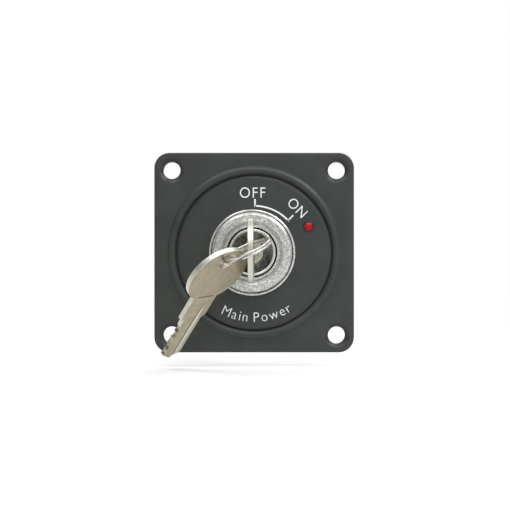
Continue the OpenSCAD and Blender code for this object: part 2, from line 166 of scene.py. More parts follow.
def clean(mesh, weld):
    """Welds points closer than weld, in metres, and turns every face outward."""
    bm = bmesh.new()
    bm.from_mesh(mesh)
    bmesh.ops.remove_doubles(bm, verts=bm.verts, dist=weld)
    bmesh.ops.recalc_face_normals(bm, faces=bm.faces)
    bm.to_mesh(mesh)
    bm.free()


def link_object(name, data):
    """An object for a mesh, light, camera or curve, in the scene."""
    obj = bpy.data.objects.new(name, data)
    bpy.context.scene.collection.objects.link(obj)
    return obj


def set_smooth(mesh, degrees):
    """Smooth shading with edges sharper than degrees kept hard."""
    for p in mesh.polygons:
        p.use_smooth = True
    mesh.set_sharp_from_angle(angle=math.radians(degrees))


def ring_points(radius, z, count, centre=(0.0, 0.0)):
    """Points of a circle at height z, anticlockwise."""
    return [(centre[0] + radius * math.cos(TAU * k / count),
             centre[1] + radius * math.sin(TAU * k / count), z) for k in range(count)]


def loft(loops, close_ends=(False, False), closed=False):
    """Faces between loops of equal length; each loop is a closed ring of points."""
    verts, faces = [], []
    count = len(loops[0])
    for loop in loops:
        verts.extend(loop)
    rows = len(loops)
    for r in range(rows if closed else rows - 1):
        a, b = r * count, ((r + 1) % rows) * count
        for k in range(count):
            m = (k + 1) % count
            faces.append((a + k, a + m, b + m, b + k))
    if close_ends[0]:
        faces.append(tuple(range(count)))
    if close_ends[1]:
        last = (rows - 1) * count
        faces.append(tuple(last + k for k in range(count)))
    return verts, faces


def lathe(profile, count=192, centre=(0.0, 0.0), closed=True):
    """A body of revolution about z from (radius, z) points; radius 0 makes a pole."""
    return loft([ring_points(max(r, 1e-5), z, count, centre) for r, z in profile], closed=closed)


def rounded(profile, radius, steps=4):
    """The closed profile with each corner replaced by a small arc."""
    out = []
    n = len(profile)
    for k in range(n):
        p, q, s = Vector(profile[k - 1]), Vector(profile[k]), Vector(profile[(k + 1) % n])
        r = radius[k] if isinstance(radius, (list, tuple)) else radius
        u, v = (p - q), (s - q)
        reach = min(r, u.length * 0.48, v.length * 0.48)
        if reach < 1e-4:
            out.append(tuple(q))
            continue
        a, b = q + u.normalized() * reach, q + v.normalized() * reach
        for j in range(steps + 1):
            t = j / steps
            out.append(tuple(a.lerp(q, t).lerp(q.lerp(b, t), t)))
    return out


def merged(parts):
    """One (verts, faces) from several."""
    verts, faces = [], []
    for v, f in parts:
        base = len(verts)
        verts.extend(v)
        faces.extend(tuple(i + base for i in face) for face in f)
    return verts, faces


def moved(part, matrix):
    """The part with its points transformed by the matrix."""
    verts, faces = part
    return [tuple(matrix @ Vector(v)) for v in verts], faces


def flat_region(outer, holes, z):
    """Triangles that fill a loop with holes, at height z."""
    points, edges = [], []
    for loop in [outer] + holes:
        base = len(points)
        points.extend(Vector((p[0], p[1])) for p in loop)
        edges.extend((base + k, base + (k + 1) % len(loop)) for k in range(len(loop)))
    verts, _, faces, *_ = delaunay_2d_cdt(points, edges, [], 1, 1e-6)
    kept = []
    for face in faces:
        c = sum((Vector(verts[i]) for i in face), Vector((0, 0))) / len(face)
        if inside(c, outer) and not any(inside(c, h) for h in holes):
            kept.append(tuple(face))
    return [(v.x, v.y, z) for v in verts], kept


def inside(p, loop):
    """True when point p is inside the 2D loop, by counting crossed sides."""
    hit = False
    for k in range(len(loop)):
        a, b = loop[k - 1], loop[k]
        if (a[1] > p[1]) != (b[1] > p[1]):
            if p[0] < (b[0] - a[0]) * (p[1] - a[1]) / (b[1] - a[1]) + a[0]:
                hit = not hit
    return hit


def rounded_square(half, corner, z, steps=16):
    """Loop of a square with round corners, anticlockwise."""
    out = []
    c = half - corner
    for q, (sx, sy) in enumerate(((1, 1), (-1, 1), (-1, -1), (1, -1))):
        for k in range(steps + 1):
            a = math.pi / 2 * (q + k / steps)
            out.append((sx * c + corner * math.cos(a), sy * c + corner * math.sin(a), z))
    return out


def cut_away(target, cutter):
    """Takes the cutter out of the target and removes it."""
    mod = target.modifiers.new("cut", "BOOLEAN")
    mod.operation = "DIFFERENCE"
    mod.solver = "EXACT"
    mod.object = cutter
    apply_modifiers(target)
    bpy.data.objects.remove(cutter)


def apply_modifiers(obj):
    """Replaces the object's mesh by the one its modifiers give."""
    bpy.context.view_layer.update()
    graph = bpy.context.evaluated_depsgraph_get()
    mesh = bpy.data.meshes.new_from_object(obj.evaluated_get(graph))
    old = obj.data
    obj.modifiers.clear()
    obj.data = mesh
    bpy.data.meshes.remove(old)


def loose(name, part, matrix=STAND):
    """A plain object for cutting and joining, not yet a piece."""
    mesh = bpy.data.meshes.new(name)
    verts, faces = part
    mesh.from_pydata([matrix @ Vector(v) for v in verts], [], faces)
    clean(mesh, 1e-8)
    return link_object(name, mesh)


def block(half_x, half_y, low, high, centre=(0.0, 0.0)):
    """A box between two heights, as (verts, faces)."""
    corners = ((-1, -1), (1, -1), (1, 1), (-1, 1))
    loop = [(centre[0] + sx * half_x, centre[1] + sy * half_y) for sx, sy in corners]
    return loft([[(x, y, z) for x, y in loop] for z in (low, high)], close_ends=(True, True))


def cylinder(radius, low, high, centre=(0.0, 0.0), count=64):
    """A closed round bar between two heights, as (verts, faces)."""
    return loft([ring_points(radius, z, count, centre) for z in (low, high)], close_ends=(True, True))


def sweep(path, radius, count=12):
    """A round bar with flat ends along a list of points, as (verts, faces)."""
    points = [Vector(p) for p in path]
    n = len(points)
    turns = [TAU * j / count for j in range(count)]
    loops = []
    side = None
    for k, point in enumerate(points):
        tangent = points[min(k + 1, n - 1)] - points[max(k - 1, 0)]
        tangent.normalize()
        if side is None:
            side = tangent.orthogonal().normalized()
        side = (side - tangent * side.dot(tangent)).normalized()
        other = tangent.cross(side)
        loops.append([tuple(point + (side * math.cos(a) + other * math.sin(a)) * radius) for a in turns])
    return loft(loops, close_ends=(True, True))


# ------------------------------------ materials
def material(name):
    """A new node material with one principled shader: (material, tree, shader)."""
    mat = bpy.data.materials.new(name)
    mat.use_nodes = True
    tree = mat.node_tree
    tree.nodes.clear()
    shader = add_node(tree, "BsdfPrincipled")
    add_node(tree, "OutputMaterial", Surface=shader.outputs[0])
    return mat, tree, shader


def add_node(tree, kind, **links):
    """A new shader node whose named inputs are linked to the given sockets."""
    node = tree.nodes.new("ShaderNode" + kind)
    for name, socket in links.items():
        tree.links.new(socket, node.inputs[name])
    return node


def coords(tree):
    """Object coordinates in millimetres."""
    mapping = add_node(tree, "Mapping", Vector=add_node(tree, "TexCoord").outputs["Object"])
    mapping.inputs["Scale"].default_value = (1 / MM,) * 3
    return mapping.outputs[0]


def noise(tree, vector, scale, detail=4.0, rough=0.5):
    """Noise between 0 and 1 at the given points."""
    node = add_node(tree, "TexNoise", Vector=vector)
    node.inputs["Scale"].default_value = scale
    node.inputs["Detail"].default_value = detail
    node.inputs["Roughness"].default_value = rough
    return node.outputs["Fac"]


def ramp(tree, value, stops):
    """A colour for each value, from (position, colour) stops."""
    node = add_node(tree, "ValToRGB", Fac=value)
    elements = node.color_ramp.elements
    for k, (pos, colour) in enumerate(stops):
        stop = elements[k] if k < 2 else elements.new(pos)
        stop.position = pos
        stop.color = (*colour, 1)
    return node.outputs["Color"]


def remap(tree, value, low, high, from_low=0.3, from_high=0.7):
    """The value carried from one range to another, and held at its ends."""
    node = add_node(tree, "MapRange", Value=value)
    node.inputs["From Min"].default_value = from_low
    node.inputs["From Max"].default_value = from_high
    node.inputs["To Min"].default_value = low
    node.inputs["To Max"].default_value = high
    return node.outputs["Result"]


def blend_colour(tree, fac, a, b):
    """Colour a where fac is 0 and colour b where it is 1; each is a colour or a socket."""
    node = add_node(tree, "Mix")
    node.data_type = "RGBA"
    tree.links.new(fac, node.inputs[0])
    for socket, value in ((node.inputs[6], a), (node.inputs[7], b)):
        if isinstance(value, tuple):
            socket.default_value = (*value, 1)
        else:
            tree.links.new(value, socket)
    return node.outputs[2]


def calculate(tree, operation, a, b=None):
    """One arithmetic node; b is a number, a socket or nothing."""
    node = add_node(tree, "Math")
    node.operation = operation
    tree.links.new(a, node.inputs[0])
    if isinstance(b, (int, float)):
        node.inputs[1].default_value = b
    elif b is not None:
        tree.links.new(b, node.inputs[1])
    return node.outputs[0]


def mix_shaders(tree, fac, first, second):
    """The first shader node where fac is 0 and the second where it is 1."""
    mix = add_node(tree, "MixShader", Fac=fac)
    tree.links.new(first.outputs[0], mix.inputs[1])
    tree.links.new(second.outputs[0], mix.inputs[2])
    return mix.outputs[0]


def toned(colour, factor):
    """The colour times a factor, held at 1."""
    return tuple(min(1.0, c * factor) for c in colour)


def bump(tree, shader, layers, edge=None):
    """Adds bump layers, each (height, distance in mm, strength), over a softened edge normal."""
    previous = edge
    for height, distance, strength in layers:
        node = add_node(tree, "Bump", Height=height)
        node.inputs["Distance"].default_value = distance * MM
        node.inputs["Strength"].default_value = strength
        if previous is not None:
            tree.links.new(previous, node.inputs["Normal"])
        previous = node.outputs["Normal"]
    tree.links.new(previous, shader.inputs["Normal"])


def edge_wear_and_highlight(tree, radius=0.25, low=0.02, high=0.25):
    """The rounded normal, and a mask from how far it is off the true one: 1 on edges, 0 on flats. Callers
    lighten edges by it, for edge wear and a painted highlight.
    """
    bevel = add_node(tree, "Bevel")
    bevel.samples = 4
    bevel.inputs["Radius"].default_value = radius * MM
    geo = add_node(tree, "NewGeometry")
    dot = add_node(tree, "VectorMath")
    dot.operation = "DOT_PRODUCT"
    tree.links.new(bevel.outputs["Normal"], dot.inputs[0])
    tree.links.new(geo.outputs["Normal"], dot.inputs[1])
    return bevel.outputs["Normal"], remap(tree, dot.outputs["Value"], 1.0, 0.0, 1 - high, 1 - low)


def plastic(name, colour, roughness, grain=9.0, grain_depth=0.012, mottled=0.12, specular=0.5):
    """Moulded plastic with a fine spark-eroded grain and slight colour variation."""
    mat, tree, shader = material(name)
    at = coords(tree)
    slow = noise(tree, at, 0.12, 3)
    fine = noise(tree, at, grain, 5, 0.6)
    base = blend_colour(tree, remap(tree, slow, 0, 1, 0.35, 0.65), toned(colour, 1 - mottled),
                        toned(colour, 1 + mottled))
    soft, lighter_edges = edge_wear_and_highlight(tree, 0.3)
    # Lighter edges: edge wear and painted highlight.
    worn_and_highlit = tuple(min(1.0, c * 1.6 + 0.02) for c in colour)
    base = blend_colour(tree, remap(tree, lighter_edges, 0, 0.45, 0, 1), base, worn_and_highlit)
    tree.links.new(base, shader.inputs["Base Color"])
    tree.links.new(remap(tree, noise(tree, at, 1.3, 4), roughness - 0.05, roughness + 0.07),
                   shader.inputs["Roughness"])
    shader.inputs["Specular IOR Level"].default_value = specular
    bump(tree, shader, [(fine, grain_depth, 1.0), (slow, 0.05, 0.3)], soft)
    return mat


def metal(name, colour, roughness, mottle=0.1, mottle_scale=0.9, grain=0.006, spread=0.1,
          scratches=0.0):
    """Plated or machined metal: mottled tone, uneven gloss, fine grain and optional scratches."""
    mat, tree, shader = material(name)
    at = coords(tree)
    blotch = noise(tree, at, mottle_scale, 6, 0.65)
    fine = noise(tree, at, 6.0, 6, 0.7)
    light = toned(colour, 1 + mottle * 0.7)
    base = blend_colour(tree, remap(tree, blotch, 0, 1, 0.36, 0.62), toned(colour, 1 - mottle), light)
    soft, lighter_edges = edge_wear_and_highlight(tree, 0.2)
    # Lighter edges: edge wear and painted highlight.
    base = blend_colour(tree, remap(tree, lighter_edges, 0, 0.5, 0, 1), base, light)
    tree.links.new(base, shader.inputs["Base Color"])
    shader.inputs["Metallic"].default_value = 1.0
    tree.links.new(remap(tree, blotch, roughness - spread / 2, roughness + spread, 0.3, 0.7),
                   shader.inputs["Roughness"])
    layers = [(fine, grain, 1.0), (blotch, grain * 2.5, 0.6)]
    if scratches:
        stretch = add_node(tree, "Mapping", Vector=at)
        stretch.inputs["Scale"].default_value = (1.0, 9.0, 1.6)
        stretch.inputs["Rotation"].default_value = (0.4, 0.9, 0.3)
        layers.append((noise(tree, stretch.outputs[0], 2.2, 8, 0.8), scratches, 0.8))
    bump(tree, shader, layers, soft)
    return mat


def turned_coords(tree, at):
    """Distance from the lock's axis in mm, and the point as (distance, angle)."""
    shift = add_node(tree, "VectorMath", Vector=at)
    shift.operation = "SUBTRACT"
    shift.inputs[1].default_value = (LOCK_AT[0], 0.0, 0.0)
    split = add_node(tree, "SeparateXYZ", Vector=shift.outputs[0])
    x, z = split.outputs["X"], split.outputs["Z"]
    across = add_node(tree, "CombineXYZ", X=x, Y=z)
    distance = add_node(tree, "VectorMath", Vector=across.outputs[0])
    distance.operation = "LENGTH"
    radius = distance.outputs["Value"]
    polar = add_node(tree, "CombineXYZ", X=radius, Y=calculate(tree, "ARCTAN2", z, x))
    return radius, polar.outputs[0]


def turned_metal(name, colour, roughness, streak=0.3, speckle=0.25, grain=0.02, shade=0.0, shade_ring_radius=0.0):
    """Plated metal turned round the lock's axis: concentric streaks, speckle and uneven gloss.

    Inside the radius shade it is near black, painted shade in a gap; in a ring about the other radius it is
    darker, painted shade in a hollow. Both in mm.
    """
    mat, tree, shader = material(name)
    at = coords(tree)
    radius, polar = turned_coords(tree, at)
    streaks = noise(tree, polar, 2.6, 5, 0.7)
    rings = noise(tree, polar, 1.1, 2, 0.5)
    spots = noise(tree, at, 1.25, 8, 0.85)
    base = blend_colour(tree, remap(tree, streaks, 0, 1, 0.38, 0.62), toned(colour, 1 - streak),
                        toned(colour, 1 + streak * 0.35))
    base = blend_colour(tree, remap(tree, spots, speckle, 0, 0.40, 0.56), base, toned(colour, 0.25))
    # Painted shade: near black inside the radius shade, for the gap between parts.
    if shade:
        gap_shade_mask = remap(tree, radius, 1, 0, shade, shade + 0.1)
        base = blend_colour(tree, gap_shade_mask, base, (0.012, 0.012, 0.012))
    # Painted shade: a darker ring about this radius, over the nut's dished inner edge.
    if shade_ring_radius:
        away = calculate(tree, "ABSOLUTE", calculate(tree, "SUBTRACT", radius, shade_ring_radius))
        base = blend_colour(tree, remap(tree, away, 0.75, 0, 0.1, 0.6), base, toned(colour, 0.3))
    tree.links.new(base, shader.inputs["Base Color"])
    shader.inputs["Metallic"].default_value = 0.72
    tree.links.new(remap(tree, spots, roughness - 0.06, roughness + 0.14), shader.inputs["Roughness"])
    bump(tree, shader, [(rings, grain * 2.5, 0.8), (streaks, grain, 1.0), (spots, grain * 0.8, 0.8)])
    return mat


def make_materials():
    """Every material by the finish it stands for; a few are lighter and darker copies that paint highlight,
    shade and dark reflection.
    """
    m = {}
    # Lighter copy of the keys' metal on edges and lit cuts: painted highlight. Darker copy in shaded cuts:
    # painted shade.
    m["key_edge_painted_highlight"] = metal("key_edge_painted_highlight", (0.64, 0.635, 0.55), 0.46, 0.08, 0.7, 0.004, 0.08, 0.003)
    m["key_cut_painted_shade"] = metal("key_cut_painted_shade", (0.20, 0.18, 0.13), 0.5, 0.2, 0.9, 0.006, 0.08)
    m["panel"] = plastic("panel_plastic", (0.0305, 0.0350, 0.0310), 0.46, 7.0, 0.006, 0.10, 0.40)
    m["paint"] = plastic("legend_paint", (0.82, 0.84, 0.82), 0.5, 12.0, 0.004, 0.06)
    # Painted shade: the nut's darker ring, and near-black gap rings in the housing's bore and between the
    # nut and the washer.
    m["zinc"] = turned_metal("zinc_plate", (0.86, 0.88, 0.85), 0.36, 0.40, 0.85, 0.03, shade_ring_radius=10.7)
    m["housing"] = turned_metal("housing_zinc", (0.80, 0.81, 0.79), 0.38, 0.40, 0.85, 0.03, shade=8.97)
    m["rim"] = turned_metal("washer_chrome", (0.84, 0.85, 0.83), 0.26, 0.35, 0.4, 0.02, shade=14.72)
    # The cap's face is a darkened copy of its rim's chrome: painted dark reflection.
    m["chrome"] = metal("cap_chrome", (0.20, 0.205, 0.195), 0.10, 0.5, 0.5, 0.003, 0.10, 0.002)
    m["cap_rim"] = turned_metal("cap_rim_chrome", (0.72, 0.73, 0.71), 0.2, 0.2, 0.2, 0.006)
    m["steel"] = metal("plated_steel", (0.62, 0.62, 0.60), 0.27, 0.12, 1.5, 0.008, 0.1)
    m["wire_steel"] = metal("ring_steel", (0.60, 0.59, 0.55), 0.30, 0.15, 2.0, 0.002, 0.06)
    m["brass"] = metal("machined_brass", (0.56, 0.54, 0.39), 0.28, 0.2, 1.2, 0.006, 0.1, 0.01)
    m["nut_brass"] = metal("plated_brass", (0.66, 0.55, 0.30), 0.24, 0.16, 1.4, 0.005, 0.1, 0.004)
    m["copper"] = metal("stamped_copper", (0.72, 0.42, 0.26), 0.3, 0.15, 1.0, 0.006, 0.1)
    m["key"] = metal("key_nickel_silver", (0.74, 0.71, 0.58), 0.30, 0.10, 0.7, 0.005, 0.10, 0.006)
    # The spare key's metal is the inserted key's, darkened for how light falls on it: painted shade.
    m["spare"] = metal("spare_nickel_silver_painted_shade", (0.385, 0.34, 0.24), 0.33, 0.16, 0.35, 0.004, 0.10, 0.004)
    m["base"] = plastic("phenolic", (0.022, 0.022, 0.024), 0.38, 3.5, 0.01, 0.2)
    m["rotor"] = plastic("natural_nylon", (0.72, 0.67, 0.55), 0.42, 3.0, 0.01, 0.06)
    m["black"] = plastic("satin_nylon", (0.016, 0.016, 0.018), 0.34, 6.0, 0.006, 0.15)
    m["red_wire"] = plastic("red_pvc", (0.48, 0.022, 0.016), 0.33, 2.0, 0.008, 0.1)
    m["black_wire"] = plastic("black_pvc", (0.018, 0.018, 0.018), 0.36, 2.0, 0.008, 0.15)
    m["shrink"] = plastic("heat_shrink", (0.02, 0.02, 0.022), 0.45, 1.4, 0.02, 0.2)
    m["resistor"] = plastic("resistor_lacquer", (0.55, 0.40, 0.22), 0.4, 4.0, 0.01, 0.12)
    m["led"] = led_material()
    return m


def led_material():
    """Tinted epoxy: cloudy red, a little light carried under the skin."""
    mat, tree, shader = material("led_epoxy")
    at = coords(tree)
    cloud = remap(tree, noise(tree, at, 0.9, 3), 0, 1, 0.35, 0.65)
    tree.links.new(blend_colour(tree, cloud, (0.25, 0.002, 0.005), (0.50, 0.004, 0.010)),
                   shader.inputs["Base Color"])
    tree.links.new(remap(tree, noise(tree, at, 3.0, 4), 0.25, 0.4), shader.inputs["Roughness"])
    shader.inputs["Subsurface Weight"].default_value = 0.15
    shader.inputs["Subsurface Radius"].default_value = (0.8 * MM, 0.1 * MM, 0.1 * MM)
    shader.inputs["Specular IOR Level"].default_value = 0.25
    bump(tree, shader, [(noise(tree, at, 5.0, 3), 0.004, 1.0)])
    return mat


def paint(obj, mat):
    """Gives the object one material."""
    obj.data.materials.clear()
    obj.data.materials.append(mat)


MATS = make_materials()


# ------------------------------------ face plate
def plate_outline(inset, z):
    """The plate's outline at height z, brought in by inset."""
    return rounded_square(HALF - inset, CORNER_R - inset, z)


def plate_edge():
    """The plate's side, from a small bevel at the back to the rounded front edge."""
    steps = 5
    edge = [plate_outline(BACK_EDGE, 0.0), plate_outline(0.0, BACK_EDGE)]
    for k in range(steps + 1):
        a = math.pi / 2 * k / steps
        edge.append(plate_outline(EDGE_R * (1 - math.cos(a)), FACE_Z - EDGE_R + EDGE_R * math.sin(a)))
    return loft(edge)


def screw_hole(centre):
    """A hole through the plate, with a countersink and a soft lip at the face."""
    lip_r = 0.25
    steps = 3
    hole = [ring_points(HOLE_R, 0.0, HOLE_COUNT, centre),
            ring_points(HOLE_R, FACE_Z - (SINK_R - HOLE_R) + 0.05, HOLE_COUNT, centre)]
    for k in range(steps + 1):
        a = math.pi / 4 + math.pi / 4 * k / steps
        drop = lip_r * (1 - math.sin(a))
        hole.append(ring_points(SINK_R + SINK_LIP - lip_r * math.cos(a), FACE_Z - drop, HOLE_COUNT, centre))
    return loft(hole)


def bead_profile():
    """(radius, z) over the raised ring: outer foot, crown, inner groove and the step to the dial."""
    arc_r = (BEAD_W ** 2 / 4 + BEAD_H ** 2) / (2 * BEAD_H)
    crown = FACE_Z + BEAD_H - arc_r
    reach = math.asin(BEAD_W / 2 / arc_r)
    outer = BEAD_R + BEAD_W / 2
    inner = BEAD_R - BEAD_W / 2
    profile = [(outer + 0.45, FACE_Z), (outer + 0.2, FACE_Z - 0.05), (outer + 0.08, FACE_Z - 0.02)]
    steps = 12
    for k in range(steps + 1):
        a = reach * (0.96 - 1.92 * k / steps)
        profile.append((BEAD_R + arc_r * math.sin(a), crown + arc_r * math.cos(a)))
    profile += [(inner, FACE_Z - 0.02), (inner - 0.02, DIAL_Z - 0.85), (inner - 0.38, DIAL_Z - 0.90),
                (inner - 0.62, DIAL_Z - 0.34), (inner - 1.2, DIAL_Z - 0.10), (inner - 2.1, DIAL_Z)]
    return profile


def openings(z):
    """The lock's and the LED's openings at height z."""
    return [ring_points(NECK_R, z, NECK_COUNT, LOCK_AT), ring_points(LED_HOLE_R, z, LED_COUNT, LED_AT)]


def face_plate():
    """Moulded plate as one closed mesh: edge, screw holes, raised ring, dial and its openings."""
    centres = [(sx * HOLE_AT, sy * HOLE_AT) for sx in (-1, 1) for sy in (-1, 1)]
    profile = bead_profile()
    foot_r, dial_r = profile[0][0], profile[-1][0]
    parts = [plate_edge()] + [screw_hole(c) for c in centres]
    parts.append(loft([ring_points(r, z, BEAD_COUNT) for r, z in profile]))

    sinks = [ring_points(SINK_R + SINK_LIP, FACE_Z, HOLE_COUNT, c) for c in centres]
    foot = ring_points(foot_r, FACE_Z, BEAD_COUNT)
    parts.append(flat_region(plate_outline(EDGE_R, FACE_Z), sinks + [foot], FACE_Z))

    parts.append(flat_region(ring_points(dial_r, DIAL_Z, BEAD_COUNT), openings(DIAL_Z), DIAL_Z))
    parts += [loft([front, back]) for front, back in zip(openings(DIAL_Z), openings(0.0))]
    holes = [ring_points(HOLE_R, 0.0, HOLE_COUNT, c) for c in centres]
    parts.append(flat_region(plate_outline(BACK_EDGE, 0.0), holes + openings(0.0), 0.0))
    obj = new_piece("moulded_plate", *merged(parts), "panel", "panel_plastic", smooth=28)
    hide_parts("face_plate")
    paint(obj, MATS["panel"])


# ------------------------------------ legend
def band(path, width):
    """A flat printed line along a 2D path, as a thin closed strip."""
    left, right = [], []
    n = len(path)
    for k in range(n):
        a, b = Vector(path[max(k - 1, 0)]), Vector(path[min(k + 1, n - 1)])
        t = (b - a).normalized()
        side = Vector((-t.y, t.x)) * width / 2
        p = Vector(path[k])
        left.append(p + side)
        right.append(p - side)
    loop = left + right[::-1]
    verts = [(p.x, p.y, z) for z in (DIAL_Z - LEGEND_SUNK, DIAL_Z + LEGEND_T) for p in loop]
    m = len(loop)
    faces = []
    for k in range(n - 1):
        a, b, c, d = k, k + 1, m - 2 - k, m - 1 - k
        faces += [(a, b, c, d), (a + m, d + m, c + m, b + m)]
    for k in range(m):
        faces.append((k, (k + 1) % m, (k + 1) % m + m, k + m))
    return verts, faces


def letter(char, stroke=0.0):
    """One character at font size 1, made bolder by stroke, as (verts, faces)."""
    curve = bpy.data.curves.new("letter", "FONT")
    curve.body = char
    curve.size = 1.0
    curve.offset = stroke
    curve.resolution_u = 6
    curve.extrude = 0.5
    obj = link_object("letter", curve)
    bpy.context.view_layer.update()
    mesh = bpy.data.meshes.new_from_object(obj.evaluated_get(bpy.context.evaluated_depsgraph_get()))
    verts = [v.co.copy() for v in mesh.vertices]
    faces = [tuple(p.vertices) for p in mesh.polygons]
    bpy.data.objects.remove(obj)
    bpy.data.meshes.remove(mesh)
    return verts, faces


def cap_size():
    """Height of a capital at font size 1."""
    heights = [v.y for v in letter("H")[0]]
    return max(heights) - min(heights)


def text_parts(text, cap_height, place, spacing=0.0, stroke=0.0, narrow=1.0):
    """Letters laid along a line: place(x) gives the 2D origin and the turn at distance x along it."""
    scale = cap_height / cap_size()
    glyphs = []
    x = 0.0
    for char in text:
        if char == " ":
            x += WORD_SPACE * cap_height
            continue
        verts, faces = letter(char, stroke)
        low, high = min(v.x for v in verts), max(v.x for v in verts)
        width = (high - low) * scale * narrow
        glyphs.append((x + width / 2, (low + high) / 2, verts, faces))
        x += width + spacing
    total = x - spacing
    parts = []
    for mid, centre, verts, faces in glyphs:
        origin, turn = place(mid - total / 2)
        c, s = math.cos(turn), math.sin(turn)
        out = []
        for v in verts:
            px, py = (v.x - centre) * scale * narrow, v.y * scale
            z = DIAL_Z + LEGEND_T if v.z > 0 else DIAL_Z - LEGEND_SUNK
            out.append((origin[0] + px * c - py * s, origin[1] + px * s + py * c, z))
        parts.append((out, faces))
    return parts


def off_place(x):
    """Level, above the top of the arc."""
    return (x - 0.55, 19.75), 0.0


def on_place(x):
    """Square to the ON direction, outside the end of the arc."""
    centre = Vector((math.sin(ON_ANGLE), math.cos(ON_ANGLE))) * 20.6 + Vector((-0.3, 0.35))
    point = centre + Vector((math.cos(ON_ANGLE), -math.sin(ON_ANGLE))) * x
    return tuple(point), -ON_ANGLE


def caption_place(x):
    """Round the bottom of the dial, with the letters' feet outward."""
    radius, spread = 25.0, 26.6
    a = (x + 1.1) / spread
    return (radius * math.sin(a), -radius * math.cos(a)), a


def legend():
    """Printed OFF and ON marks with the travel arc between them, and a generic caption below."""
    parts = text_parts("OFF", 3.75, off_place, 1.0, -0.006, 0.92)
    # The tick drops from OFF, the arc runs clockwise to just past ON's tick
    parts.append(band([(0.3, TRAVEL_R - 0.3), (0.3, 19.35)], 0.6))
    steps = 48
    turns = [math.radians(1 + 47.2 * k / steps) for k in range(steps + 1)]
    parts.append(band([(TRAVEL_R * math.sin(a), TRAVEL_R * math.cos(a)) for a in turns], LINE_W))
    near = Vector((TRAVEL_R + 0.15, TRAVEL_R - 0.75)) * math.sin(ON_ANGLE)
    far = Vector((TRAVEL_R + 3.1, TRAVEL_R + 2.2)) * math.sin(ON_ANGLE)
    parts.append(band([tuple(near), tuple(far)], 0.55))
    parts += text_parts("ON", 3.65, on_place, 0.85, -0.006, 0.92)
    parts += text_parts("Main Power", 3.45, caption_place, 1.16, -0.010, 0.94)
    obj = new_piece("printed_legend", *merged(parts), "panel", "panel_plastic", smooth=30)
    paint(obj, MATS["paint"])


# ------------------------------------ lock front
def bezel_washer():
    """Polished washer behind the nut: rounded rim with a fine turned groove."""
    low, high = WASHER["z"]
    r = WASHER["r"]
    profile = rounded([(NECK_R, low), (r, low), (r, high - 0.25), (r - 0.3, high), (r - 0.62, high),
                       (r - 0.72, high - 0.12), (r - 0.82, high), (NECK_R, high)],
                      [0.05, 0.1, 0.12, 0.12, 0.04, 0.04, 0.04, 0.05])
    obj = new_piece("bezel_washer_turned", *lathe(profile, TURNED_COUNT, LOCK_AT), "panel", "zinc")
    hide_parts("bezel_washer")
    paint(obj, MATS["rim"])


def ring_nut():
    """Ring nut: bevelled outer edge, a faint turned step, four spanner holes in its side."""
    low, high = NUT["z"]
    r = NUT["r"]
    bore = NECK_R - 0.05
    spanner_r, spanner_depth = 0.6, 1.3
    profile = rounded([(bore, low), (r, low), (r, high - 0.85), (r - 0.75, high - 0.12), (r - 0.95, high),
                       (bore + 2.5, high), (bore + 2.35, high - 0.05), (bore + 1.45, high - 0.05),
                       (bore, high - 0.45)], [0.05, 0.1, 0.15, 0.1, 0.12, 0.05, 0.04, 0.15, 0.1])
    nut = loose("nut", lathe(profile, TURNED_COUNT, LOCK_AT))
    outward = Matrix.Rotation(math.pi / 2, 4, "Y")
    seat = Matrix.Translation((LOCK_AT[0], 0, low + 0.9))
    for k in range(4):
        round_axis = Matrix.Rotation(math.radians(90 * k + 20), 4, "Z")
        hole = cylinder(spanner_r, r - spanner_depth, r + 1, count=24)
        hole = moved(hole, round_axis @ outward)
        cut_away(nut, loose("hole", moved(hole, seat)))
    obj = finish_piece("ring_nut_turned", nut.data, "panel")
    bpy.data.objects.remove(nut)
    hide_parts("ring_nut")
    paint(obj, MATS["zinc"])


def plug_cap():
    """Pressed chrome cap: a bright rolled rim round a shallow mirror face, pierced for the key."""
    low, high = CAP["z"]
    r = CAP["r"]
    face = KEY_STOP - 0.15
    opening, opening_lip, rim = 3.53, 3.8, 0.84
    profile = rounded([(opening, low), (r, low), (r, high - 0.1), (r - 0.2, high), (r - 0.55, high - 0.02),
                       (r - 0.85, face), (3.85, face), (3.68, face + 0.14), (opening, face + 0.05)],
                      [0.02, 0.1, 0.15, 0.2, 0.2, 0.25, 0.1, 0.08, 0.05], 5)
    cap = loose("cap", lathe(profile, 192, LOCK_AT))
    cut_away(cap, loose("slot", block(KEY_T / 2 + 0.2, 4.0, low - 1, high + 1, LOCK_AT)))
    obj = finish_piece("plug_cap_pressed", cap.data, "plug")
    bpy.data.objects.remove(cap)
    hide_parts("plug_cap")
    # Darkened chrome on the face, a painted dark reflection; the rim keeps the bright chrome.
    paint(obj, MATS["chrome"])
    obj.data.materials.append(MATS["cap_rim"])
    for p in obj.data.polygons:
        away = math.hypot(p.center.x - LOCK_AT[0] * MM, p.center.z)
        p.material_index = 1 if away > (r - rim) * MM or away < opening_lip * MM else 0


